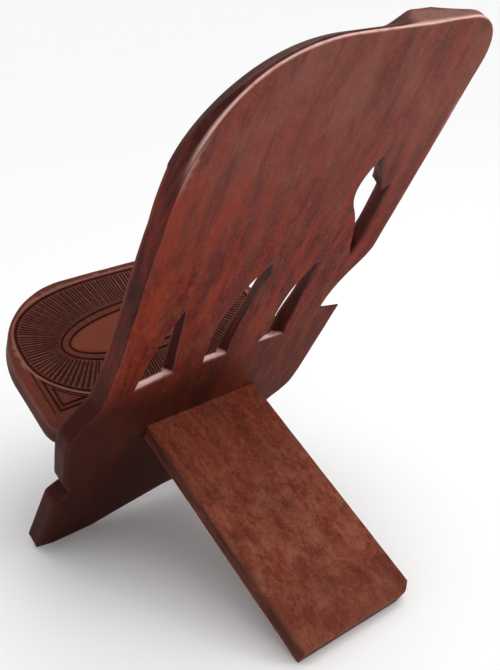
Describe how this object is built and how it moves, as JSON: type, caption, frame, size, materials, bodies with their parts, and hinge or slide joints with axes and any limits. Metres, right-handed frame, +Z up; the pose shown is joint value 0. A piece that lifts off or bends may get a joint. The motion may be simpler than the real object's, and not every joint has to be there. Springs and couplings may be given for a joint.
{
  "type": "slotted two-board stand",
  "caption": "Carved wooden slotted stand: an elephant-silhouette back board crossed by a sunburst-carved seat board whose tail passes through a slot and props it up.",
  "frame": {"origin": "centre of the whole stand's footprint box, on the ground it stands on, with the seat board pushed home", "axes": "+Z up, -Y towards the front (the seat plate and the user), +X towards the elephant's rump; the back board leans back towards +Y"},
  "size_m": [0.298, 0.3706, 0.4639],
  "materials": {
    "back_wood": "oiled reddish-brown hardwood, worn satin",
    "seat_wood": "oiled reddish-brown hardwood, worn satin, carved"
  },
  "bodies": {
    "back": {"back_board": "back_wood"},
    "seat": {"seat_board": "seat_wood"}
  },
  "joints": [
    {"name": "seat_pull", "type": "slide", "parent": "back", "child": "seat", "axis": [0, -0.866, 0.5], "range_m": [0, 0.255]}
  ]
}
